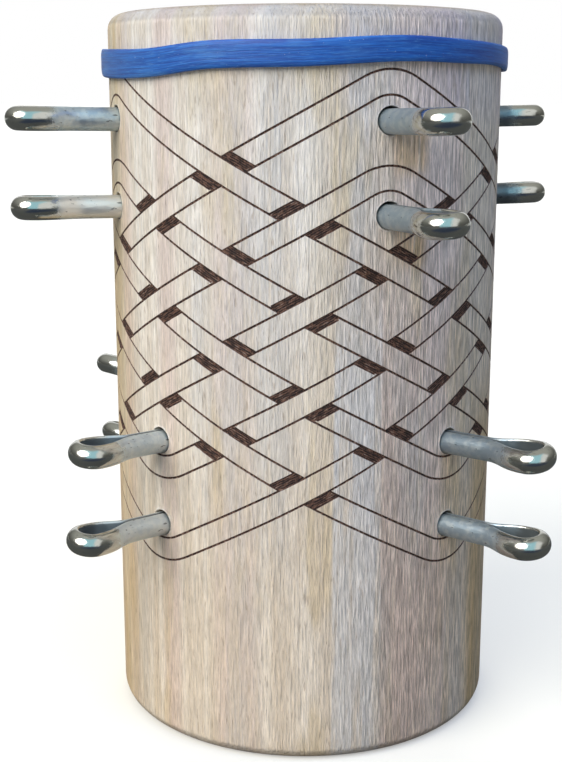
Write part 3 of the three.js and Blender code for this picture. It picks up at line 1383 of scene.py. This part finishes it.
@dataclass
class Mandrel:
    """The turned wooden cylinder, with the guide burnt into its side and its blind pin holes."""

    guide: KnotGuide
    seats: list[PinSeat]
    height: float = 115
    edge_radius: float = 2.4
    edge_steps: int = 8
    strips: int = 30
    bands: int = 16
    hole_radius: float = 2.05
    hole_sides: int = 24
    hole_depth: float = 20
    hole_point: float = 1.23
    mouth_flare: float = 0.08
    mouth_depth: float = 0.15
    lip_width: float = 0.4
    lip_rise: float = 0.06
    char_depth: float = 0.16
    cap_rim: float = 0.8
    crease: float = 24

    def __post_init__(self) -> None:
        """Takes over the guide's sizes."""
        self.radius = self.guide.radius
        self.tile_width = self.guide.bight_width
        self.cell = (self.tile_width / self.strips, self.height / self.bands)

    def build(self, finish: MapleFinish) -> None:
        """Builds the mandrel and dresses it.

        Args:
            finish: The wood's finish.
        """
        sheet = self.side()
        self.open_mouths(sheet)
        self.wrap(sheet)
        for end in End:
            self.close_end(sheet, end)
        sheet.verts.layers.float.new("torn")
        for seat in self.seats:
            self.drill(sheet, seat)
        bmesh.ops.recalc_face_normals(sheet, faces=sheet.faces)
        wood = finish.material()
        register_piece("engraved_mandrel", sheet, wood, Slot.WOOD, "mandrel", self.crease)

    def edge_start(self, end: End) -> float:
        """Gives the height at which the side starts to round over into an end."""
        return self.height - self.edge_radius if end is End.TOP else self.edge_radius

    def side(self) -> BMesh:
        """Makes the flat sheet of the whole side, with the guide cut into it.

        Returns:
            The sheet.
        """
        sheet = bmesh.new()
        bmesh.ops.create_grid(sheet, x_segments=self.strips, y_segments=self.bands, size=0.5)
        size = Matrix.Diagonal((self.tile_width, 1, self.height, 1))
        middle = Matrix.Translation((self.tile_width / 2, 0, self.height / 2))
        bmesh.ops.transform(sheet, matrix=middle @ size @ STAND_UP, verts=sheet.verts)
        for end in End:
            cut_off(sheet, (0, 0, self.edge_start(end)), (0, 0, end.value))
        graver = Graver(sheet, self.cell)
        self.guide.engrave(graver)
        self.match_borders(sheet)
        graver.sink()
        tile = everything(sheet)
        for i in range(1, self.guide.bights):
            copy = bmesh.ops.duplicate(sheet, geom=tile)["geom"]
            aside = (i * self.tile_width, 0, 0)
            bmesh.ops.translate(sheet, vec=aside, verts=pick(copy, BMVert))
        bmesh.ops.remove_doubles(sheet, verts=sheet.verts, dist=Graver.SNAP / 2)
        return sheet

    def match_borders(self, sheet: BMesh) -> None:
        """Gives the tile's upright borders corners at the same heights, so that tiles join.

        Args:
            sheet: The tile.
        """
        borders = [0.0, self.tile_width]
        heights = [
            sorted(v.co.z for v in sheet.verts if abs(v.co.x - border) < Graver.SNAP)
            for border in borders
        ]
        for border, wanted, present in zip(borders, reversed(heights), heights):
            for height in wanted:
                if all(abs(height - other) >= Graver.SNAP for other in present):
                    self.split_border(sheet, border, height)

    def split_border(self, sheet: BMesh, border: float, height: float) -> None:
        """Splits the border's edge that passes a height there.

        Args:
            sheet: The tile.
            border: Where the border lies.
            height: The height.
        """
        for edge in list(sheet.edges):
            low, high = sorted(edge.verts, key=lambda v: v.co.z)
            upright = all(abs(v.co.x - border) < Graver.SNAP for v in edge.verts)
            if upright and low.co.z < height < high.co.z:
                bmesh.utils.edge_split(edge, low, (height - low.co.z) / (high.co.z - low.co.z))
                return

    def mouth(self, seat: PinSeat, margin: float) -> list[Vector]:
        """Gives the outline of a hole's mouth on the unrolled side.

        Args:
            seat: The hole's seat.
            margin: How much it is widened.

        Returns:
            The outline's corners.
        """
        radius = self.hole_radius + self.mouth_flare + margin
        climb = math.radians(seat.climb)
        outline = []
        for i in range(self.hole_sides):
            turn = 2 * math.pi * (i + 0.5) / self.hole_sides
            aside, up = radius * math.cos(turn), radius * math.sin(turn)
            shortfall = math.sqrt(self.radius**2 - aside**2) - self.radius
            out = (shortfall + up * math.sin(climb)) / math.cos(climb)
            bearing = math.radians(seat.column) + math.asin(aside / self.radius)
            height = seat.height + up * math.cos(climb) + out * math.sin(climb)
            outline.append(Vector((self.radius * bearing, 0, height)))
        return outline

    def open_mouths(self, sheet: BMesh) -> None:
        """Cuts the mouth of every hole out of the flat sheet, with a lip round it.

        Args:
            sheet: The sheet.
        """
        for seat in self.seats:
            graver = Graver(sheet, self.cell)
            graver.clip(self.mouth(seat, self.lip_width))
            inside = graver.clip(self.mouth(seat, 0))
            bmesh.ops.delete(sheet, geom=inside, context="FACES")

    def wrap(self, sheet: BMesh) -> None:
        """Rolls the flat sheet into a prism and closes its seam, with the burnt places sunk.

        Args:
            sheet: The sheet.
        """
        sunk = sheet.verts.layers.float["sunk"]
        char = sheet.verts.layers.float.new("char")
        strip_width = self.cell[0]
        count = self.strips * self.guide.bights
        for vert in sheet.verts:
            vert[char] = min(1.0, vert[sunk] / self.char_depth)
            strip = max(0, min(math.floor(vert.co.x / strip_width), count - 1))
            share = vert.co.x / strip_width - strip
            radius = self.radius - vert[sunk]
            start, end = (around(360 * (strip + i) / count, radius, vert.co.z) for i in (0, 1))
            vert.co = start.lerp(end, share)
        bmesh.ops.remove_doubles(sheet, verts=sheet.verts, dist=Graver.SNAP / 2)

    def close_end(self, sheet: BMesh, end: End) -> None:
        """Rounds the side over into one end and caps it.

        Args:
            sheet: The side.
            end: The end.
        """
        start = self.edge_start(end)
        loop = open_edges(sheet, lambda spot: abs(spot.z - start) < Graver.SNAP)
        radius, height = self.radius, start
        for i in range(1, self.edge_steps + 1):
            turn = math.radians(90 * i / self.edge_steps)
            next_radius = self.radius - self.edge_radius * (1 - math.cos(turn))
            next_height = start + end.value * self.edge_radius * math.sin(turn)
            verts, loop = extend(sheet, loop)
            share = next_radius / radius
            bmesh.ops.scale(sheet, vec=(share, share, 1), verts=verts)
            bmesh.ops.translate(sheet, vec=(0, 0, next_height - height), verts=verts)
            radius, height = next_radius, next_height
        cap = bmesh.ops.contextual_create(sheet, geom=loop)["faces"]
        bmesh.ops.inset_region(sheet, faces=cap, thickness=self.cap_rim, use_even_offset=True)

    def drill(self, sheet: BMesh, seat: PinSeat) -> None:
        """Sinks one blind hole from its mouth: a small flare, the bore, and the drill's point.

        Args:
            sheet: The mandrel.
            seat: The hole's seat.
        """
        place = seat.frame(self.radius)
        back, centre = place.inverted(), place.translation
        reach = 2 * self.hole_radius
        loop = open_edges(sheet, lambda spot: (spot - centre).length < reach)
        torn = sheet.verts.layers.float["torn"]
        outward = (place.to_3x3() @ Vector((1, 0, 0))) * self.lip_rise
        for vert in dict.fromkeys(v for e in loop for v in e.verts):
            vert[torn] = 1.0
            vert.co += outward
        shrink = self.hole_radius / (self.hole_radius + self.mouth_flare)
        stages: list[tuple[float, Callable[[float], float]]] = [
            (shrink, lambda x: x - self.mouth_depth),
            (1.0, lambda x: -self.hole_depth),
            (0.0, lambda x: -self.hole_depth - self.hole_point),
        ]
        for share, sink in stages:
            verts, loop = extend(sheet, loop)
            for vert in verts:
                local = back @ vert.co
                vert.co = place @ Vector((sink(local.x), local.y * share, local.z * share))
                vert[torn] = 0.0
        bmesh.ops.pointmerge(sheet, verts=verts, merge_co=verts[0].co)


@dataclass
class SplitPin:
    """A split pin: half-round wire, bent into an eye, with its two legs flat against each other."""

    wire_radius: float = 1.85
    leg_gap: float = 0.14
    corner: float = 0.38
    corner_steps: int = 4
    inside_depth: float = 0.02
    leg_length: float = 19
    leg_sections: int = 2
    leg_step: float = 2
    eye_length: float = 11.5
    eye_bore: float = 3.7
    throat_start: float = 3.3
    throat_end: float = 4
    section_sides: int = 32
    eye_steps: int = 12
    throat_steps: int = 12
    tip_rim: float = 0.3
    tip_from: float = 0.75
    seam: float = 0.001
    droop: float = 0.14
    crease: float = 38

    @property
    def wire_thickness(self) -> float:
        """How thick the half-round wire is, from its flat to its crown."""
        return self.wire_radius - self.leg_gap / 2

    @property
    def eye_centre(self) -> float:
        """How far the middle of the eye lies from the throat."""
        return self.eye_length - self.wire_thickness - self.eye_bore / 2

    def build(self, seat: PinSeat, radius: float, finish: bpy.types.Material) -> None:
        """Builds one pin in its hole and dresses it.

        Args:
            seat: Where the pin sits.
            radius: The mandrel's radius.
            finish: The pins' material.
        """
        wire = self.wire()
        spot = wire.verts.layers.float_vector.new("pin_place")
        # Each pin's tone, which is partly painted shade and painted light.
        tone = wire.verts.layers.float.new("plating_and_light_tone")
        for vert in wire.verts:
            vert[spot] = vert.co
            vert[tone] = seat.tone
        throat = Matrix.Translation((seat.stand_out - self.eye_length, 0, -self.droop))
        place = seat.frame(radius) @ throat @ Matrix.Rotation(math.radians(seat.roll), 4, "X")
        bmesh.ops.transform(wire, matrix=place, verts=wire.verts)
        name = seat.name.replace("_pin_", "_split_pin_")
        register_piece(name, wire, finish, Slot.STEEL, seat.name, self.crease)

    def wire(self) -> BMesh:
        """Bends one half of the wire from the eye's crown to the leg's end, and mirrors it.

        Returns:
            The wire, along X, with its throat at the origin.
        """
        wire = bmesh.new()
        bent = bmesh.ops.spin(
            wire,
            geom=self.section(wire),
            cent=(self.eye_centre, 0, 0),
            axis=(0, 0, 1),
            angle=math.pi / 2,
            steps=self.eye_steps,
        )["geom_last"]
        loop = self.bend_throat(wire, pick(bent, BMEdge))
        onward = Matrix.Translation((-self.leg_length / self.leg_sections, 0, 0))
        for _ in range(self.leg_sections):
            loop = self.draw(wire, loop, onward)
        self.finish_tip(wire, loop)
        bmesh.ops.mirror(
            wire, geom=everything(wire), matrix=Matrix(), merge_dist=self.seam, axis="Y"
        )
        for vert in wire.verts:
            if vert.co.y < 0 and vert.co.x < -self.tip_from * self.leg_length:
                vert.co.x -= self.leg_step
        bmesh.ops.remove_doubles(wire, verts=wire.verts, dist=self.seam / 2)
        bmesh.ops.recalc_face_normals(wire, faces=wire.faces)
        return wire

    def section(self, wire: BMesh) -> list[BMVert | BMEdge]:
        """Makes the wire's half-round section, upright across the crown of the eye.

        Args:
            wire: The empty mesh.

        Returns:
            The section's corners and edges.
        """
        flat = self.leg_gap / 2
        bmesh.ops.create_circle(
            wire, cap_ends=True, segments=self.section_sides, radius=self.wire_radius
        )
        cut_off(wire, (flat, 0, 0), (-1, 0, 0))
        corners = sorted(wire.verts, key=lambda v: v.co.x)[:2]
        round_corners(wire, corners, self.corner, self.corner_steps)
        inside = wire.verts.layers.float.new("inside")
        for vert in wire.verts:
            vert[inside] = float(vert.co.x < flat + self.inside_depth)
        out = Matrix.Translation((self.eye_length - self.wire_radius, 0, 0))
        bmesh.ops.transform(wire, matrix=out @ STAND_UP, verts=wire.verts)
        return [*wire.verts, *wire.edges]

    def draw(self, wire: BMesh, loop: Iterable[BMEdge], move: Matrix) -> list[BMEdge]:
        """Draws the wire's open end on by one step.

        Args:
            wire: The wire.
            loop: The edges of its open end.
            move: How the end moves.

        Returns:
            The edges of the new end.
        """
        verts, edges = extend(wire, loop)
        bmesh.ops.transform(wire, matrix=move, verts=verts)
        return edges

    def throat_frame(self, share: float) -> Matrix:
        """Gives the frame of the wire's flat on a curve from the eye to the legs.

        Args:
            share: The share of the way.

        Returns:
            The frame.
        """
        gap, half = self.leg_gap / 2, self.eye_bore / 2
        along = (self.eye_centre, self.throat_end, self.throat_start, 0)
        knots = [Vector((x, y, 0)) for x, y in zip(along, (half, half, gap, gap))]
        rest = 1 - share
        weights = (rest**3, 3 * rest**2 * share, 3 * rest * share**2, share**3)
        slopes = (rest**2, 2 * rest * share, share**2)
        point = sum((knot * weight for knot, weight in zip(knots, weights)), Vector())
        way = sum(((b - a) * slope for a, b, slope in zip(knots, knots[1:], slopes)), Vector())
        turn = math.atan2(way.y, way.x) - math.pi
        return Matrix.Translation(point) @ Matrix.Rotation(turn, 4, "Z")

    def bend_throat(self, wire: BMesh, loop: list[BMEdge]) -> list[BMEdge]:
        """Leads the wire from the eye down to where the legs meet.

        Args:
            wire: The wire.
            loop: The edges of its open end.

        Returns:
            The edges of the new end.
        """
        for i in range(self.throat_steps):
            here = self.throat_frame(i / self.throat_steps)
            there = self.throat_frame((i + 1) / self.throat_steps)
            loop = self.draw(wire, loop, there @ here.inverted())
        return loop

    def finish_tip(self, wire: BMesh, loop: list[BMEdge]) -> None:
        """Closes the leg's end with a small worn rim.

        Args:
            wire: The wire.
            loop: The edges of its open end.
        """
        faces = bmesh.ops.contextual_create(wire, geom=loop)["faces"]
        bmesh.ops.inset_region(wire, faces=faces, thickness=self.tip_rim, depth=0)
        tip = list(dict.fromkeys(v for face in faces for v in face.verts))
        bmesh.ops.translate(wire, vec=(-self.tip_rim, 0, 0), verts=tip)


@dataclass(frozen=True)
class BandStation:
    """The band's lower and upper edge at one angle round the mandrel."""

    angle: float
    low: float
    high: float

    @property
    def middle(self) -> float:
        """The height of the band's middle."""
        return (self.low + self.high) / 2

    @property
    def half(self) -> float:
        """Half the band's width."""
        return (self.high - self.low) / 2


@dataclass
class RubberBand:
    """The flat rubber band, which sits unevenly and is stretched a little thinner on one side."""

    radius: float = MANDREL_RADIUS
    clearance: float = 0.05
    thickness: float = 1.1
    thin_by: float = 0.15
    corner: float = 0.28
    corner_steps: int = 4
    long_side: float = 0.3
    side_cuts: int = 3
    steps: int = 144
    crease: float = 40
    stations: tuple[BandStation, ...] = (
        BandStation(-180, 106.2, 109.9),
        BandStation(-130, 106.0, 109.9),
        BandStation(-90, 105.7, 109.8),
        BandStation(-66, 105.0, 109.35),
        BandStation(-45, 105.05, 109.15),
        BandStation(-25, 106.1, 110.0),
        BandStation(0, 106.35, 110.1),
        BandStation(25, 107.1, 110.7),
        BandStation(45, 107.0, 110.4),
        BandStation(62, 106.9, 110.1),
        BandStation(85, 106.2, 109.7),
        BandStation(130, 106.4, 110.0),
    )

    def build(self, finish: RubberFinish) -> None:
        """Builds the band and dresses it.

        Args:
            finish: The rubber's finish.
        """
        band = self.ring()
        self.shape(band)
        self.lay_out(band)
        rubber = finish.material()
        register_piece("stretched_band", band, rubber, Slot.RUBBER, "rubber_band", self.crease)

    def ring(self) -> BMesh:
        """Spins the band's rounded section into a ring, one unit of height to each half width.

        Returns:
            The plain ring.
        """
        band = bmesh.new()
        bmesh.ops.create_grid(band, x_segments=1, y_segments=1, size=0.5)
        round_corners(band, band.verts, self.corner, self.corner_steps)
        sides = [edge for edge in band.edges if edge.calc_length() > self.long_side]
        bmesh.ops.subdivide_edges(band, edges=sides, cuts=self.side_cuts)
        size = Matrix.Diagonal((self.thickness, 1, 2, 1))
        middle = Matrix.Translation((self.radius + self.clearance + self.thickness / 2, 0, 0))
        bmesh.ops.transform(band, matrix=middle @ size @ STAND_UP, verts=band.verts)
        bmesh.ops.spin(
            band,
            geom=[*band.verts, *band.edges],
            cent=(0, 0, 0),
            axis=(0, 0, 1),
            angle=2 * math.pi,
            steps=self.steps,
            use_merge=True,
        )
        bmesh.ops.recalc_face_normals(band, faces=band.faces)
        return band

    def station_at(self, angle: float) -> BandStation:
        """Gives the band's edges at any angle, on a smooth curve through the stations.

        Args:
            angle: The angle, in degrees.

        Returns:
            The edges there.
        """
        count = len(self.stations)
        for i, here in enumerate(self.stations):
            after = self.stations[(i + 1) % count]
            share = ((angle - here.angle) % 360) / ((after.angle - here.angle) % 360)
            if share < 1:
                near = (self.stations[i - 1], here, after, self.stations[(i + 2) % count])
                low = blend_through(share, *(station.low for station in near))
                high = blend_through(share, *(station.high for station in near))
                return BandStation(angle, low, high)
        return self.stations[0]

    def shape(self, band: BMesh) -> None:
        """Gives the plain ring the band's uneven height, width and thickness.

        Args:
            band: The plain ring.
        """
        inner = self.radius + self.clearance
        for vert in band.verts:
            angle = math.degrees(math.atan2(vert.co.x, -vert.co.y))
            station = self.station_at(angle)
            share = (vert.co.xy.length - inner) / self.thickness
            thin = self.thin_by * (1 + math.sin(math.radians(angle))) / 2
            radius = inner + share * (self.thickness - thin)
            vert.co = around(angle, radius, station.middle + vert.co.z * station.half)

    def lay_out(self, band: BMesh) -> None:
        """Gives the band a UV map in millimetres: U runs round the band and V across it.

        Args:
            band: The band.
        """
        uv = band.loops.layers.uv.new("along_the_band")
        for face in band.faces:
            centre = face.calc_center_median()
            middle = math.atan2(centre.x, -centre.y)
            for loop in face.loops:
                point = loop.vert.co
                turn = math.atan2(point.x, -point.y)
                if turn - middle > math.pi:
                    turn -= 2 * math.pi
                elif turn - middle < -math.pi:
                    turn += 2 * math.pi
                side = point.xy.length - self.radius
                station = self.station_at(math.degrees(turn))
                loop[uv].uv = (turn * self.radius, point.z - station.middle + side)


def blend_through(share: float, before: float, start: float, end: float, beyond: float) -> float:
    """Gives a value between two stations, on a curve that passes smoothly through all four.

    Args:
        share: The share of the way from start to end.
        before: The value at the station before.
        start: The value where the stretch starts.
        end: The value where it ends.
        beyond: The value at the station after.

    Returns:
        The value there.
    """
    first = (end - before) / 2
    last = (beyond - start) / 2
    square, cube = share**2, share**3
    return (
        (2 * cube - 3 * square + 1) * start
        + (cube - 2 * square + share) * first
        + (3 * square - 2 * cube) * end
        + (cube - square) * last
    )


# Studio


@dataclass(frozen=True)
class Viewpoint:
    """The camera, at the photograph's place. The photograph is 562 by 762 pixels."""

    place: Triple = (-1.47, -214.6, 102.38)
    pitch_down: float = 12.611
    turn: float = 0.633
    focal_pixels: float = 1275
    picture_height: float = 762
    sensor: float = 36
    reach: Span = (0.01, 100)

    def build(self) -> None:
        """Makes the scene's camera."""
        data = bpy.data.cameras.new("viewpoint")
        data.sensor_fit = "VERTICAL"
        data.sensor_height = self.sensor
        data.lens = self.sensor * self.focal_pixels / self.picture_height
        data.clip_start, data.clip_end = self.reach
        camera = add_object("viewpoint", data)
        camera.location = Vector(self.place) * MM
        camera.rotation_euler = (math.radians(90 - self.pitch_down), 0, math.radians(self.turn))
        bpy.context.scene.camera = camera


@dataclass(frozen=True)
class Lamp:
    """One broad soft light, far away. Its bearing, climb and spread are in degrees."""

    name: str
    bearing: float
    climb: float
    strength: float
    spread: float
    tint: Triple
    mirrored: bool = False

    def build(self) -> None:
        """Makes the light."""
        data = bpy.data.lights.new(self.name, "SUN")
        data.energy = self.strength
        data.angle = math.radians(self.spread)
        data.color = self.tint
        lamp = add_object(self.name, data)
        lamp.visible_glossy = self.mirrored
        lamp.rotation_euler = (math.radians(90 - self.climb), 0, math.radians(self.bearing))


@dataclass(frozen=True)
class Floor:
    """The pale floor. Metal mirrors it dim in front of the object and pale far behind it."""

    size: float = 30
    tint: Colour = colour(206, 203, 188)
    glow: float = 0.38
    bounce: Colour = (0.25, 0.235, 0.205, 1)
    mirrored: Colour = (0.085, 0.085, 0.074, 1)
    shade: Colour = (0.03, 0.04, 0.06, 1)
    shade_ahead: Stripe = Stripe(-1.6, -1.2, -0.16, -0.1)
    shade_beside: Stripe = Stripe(-0.2, -0.1, 0.3, 0.5)
    far_behind: Span = (0.6, 0.9)
    roughness: float = 0.9
    sheen: float = 0.1

    def build(self) -> None:
        """Makes the floor, which isn't part of the object."""
        bm = bmesh.new()
        bmesh.ops.create_grid(bm, x_segments=1, y_segments=1, size=self.size / 2)
        mesh = bpy.data.meshes.new("floor")
        bm.to_mesh(mesh)
        bm.free()
        mesh.materials.append(self.material())
        floor = add_object("floor", mesh)

    def material(self) -> bpy.types.Material:
        """Builds the floor's material, which shows each kind of ray its own shade.

        Returns:
            The material.
        """
        b = Bench(bpy.data.materials.new("pale_floor"))
        path = b.node("LightPath").outputs
        across, deep, _ = b.axes(b.own_place())
        shaded = b.product(self.shade_ahead.on(b, deep), self.shade_beside.on(b, across))
        mirrored = b.mix(shaded, self.mirrored, self.shade)
        mirrored = b.mix(b.span(deep, *self.far_behind), mirrored, self.tint)
        seen = b.math("MAXIMUM", path["Is Camera Ray"], path["Is Transmission Ray"])
        unseen = b.mix(path["Is Glossy Ray"], self.bounce, mirrored)
        look = {
            "Base Color": b.mix(seen, unseen, self.tint),
            "Roughness": self.roughness,
            "Specular IOR Level": self.sheen,
            "Emission Color": WHITE,
            "Emission Strength": b.product(seen, self.glow),
        }
        return b.finish(look)


@dataclass(frozen=True)
class Room:
    """The room: white where it is seen, softer as light, and with a window that metal mirrors."""

    light: float = 0.27
    tint: Colour = (0.87, 0.96, 1.1, 1)
    wall_span: Span = (0.05, 0.95, 0.12, 0.5)
    wall_blue: float = 0.93
    window_front: Span = (0, -0.2)
    window_top: Span = (0.97, 0.88)
    window_width: Stripe = Stripe(-0.42, -0.34, 0.78, 0.86)
    sky_pane: Colour = (0.5, 0.86, 1.0, 1)
    white_pane: Span = (0.4, 0.5)
    sill: Colour = (0.05, 0.07, 0.12, 1)
    sill_height: Span = (0, 0.05)
    backdrop: Span = (0.8, 0.9)

    def build(self) -> None:
        """Makes the world."""
        world = bpy.data.worlds.new("room")
        b = Bench(world)
        path = b.node("LightPath").outputs
        seen = b.math("MAXIMUM", path["Is Camera Ray"], path["Is Transmission Ray"])
        light = b.node("Background", {0: self.tint, 1: self.light})
        mirrored = b.node("Background", {0: self.mirrored(b), 1: 1})
        white = b.node("Background", {0: WHITE, 1: 1})
        for share, shown in ((path["Is Glossy Ray"], mirrored), (seen, white)):
            light = b.node("MixShader", {0: share, 1: light.outputs[0], 2: shown.outputs[0]})
        b.node("OutputWorld", {0: light.outputs[0]})
        bpy.context.scene.world = world

    def mirrored(self, b: Bench) -> Socket:
        """Builds what metal mirrors: walls, a window behind the viewer and the white backdrop.

        Args:
            b: The bench.

        Returns:
            The shade.
        """
        aside, deep, climb = b.axes(b.node("TexCoord").outputs["Generated"])
        wall = b.span(climb, *self.wall_span)
        blue = b.product(wall, self.wall_blue)
        wall = b.node("CombineColor", {0: wall, 1: wall, 2: blue}).outputs[0]
        front = b.product(b.span(deep, *self.window_front), b.span(climb, *self.window_top))
        window = b.product(front, self.window_width.on(b, aside))
        pane = b.mix(b.span(aside, *self.white_pane), self.sky_pane, WHITE)
        pane = b.mix(b.span(climb, *self.sill_height), self.sill, pane)
        shade = b.mix(window, wall, pane)
        return b.mix(b.span(deep, *self.backdrop), shade, WHITE)


@dataclass(frozen=True)
class Studio:
    """The pale floor, the soft lights and the pale room."""

    floor: Floor = Floor()
    room: Room = Room()
    lamps: tuple[Lamp, ...] = (
        Lamp("window", -43, 36, 2.95, 50, (1.0, 0.965, 0.93), mirrored=True),
        Lamp("overhead", 0, 88, 0.45, 60, (1.0, 0.96, 0.9)),
        Lamp("sky", 35, 60, 1.12, 45, (0.22, 0.43, 1.0)),
        Lamp("back_window", 184, 30, 1.3, 50, (1.0, 0.98, 0.95)),
    )

    def build(self) -> None:
        """Makes the floor, the lights and the room."""
        bpy.context.scene.view_settings.view_transform = "Standard"
        for part in (self.floor, *self.lamps, self.room):
            part.build()


def main() -> None:
    """Builds the studio and every piece of the jig."""
    logging.basicConfig(level=logging.INFO, format="%(name)s: %(message)s")
    Viewpoint().build()
    Studio().build()
    seats = PinLayout().seats()
    mandrel = Mandrel(guide=KnotGuide(), seats=seats)
    mandrel.build(MapleFinish())
    zinc = ZincFinish().material()
    for seat in seats:
        SplitPin().build(seat, mandrel.radius, zinc)
    RubberBand().build(RubberFinish())


if __name__ == "__main__":
    main()
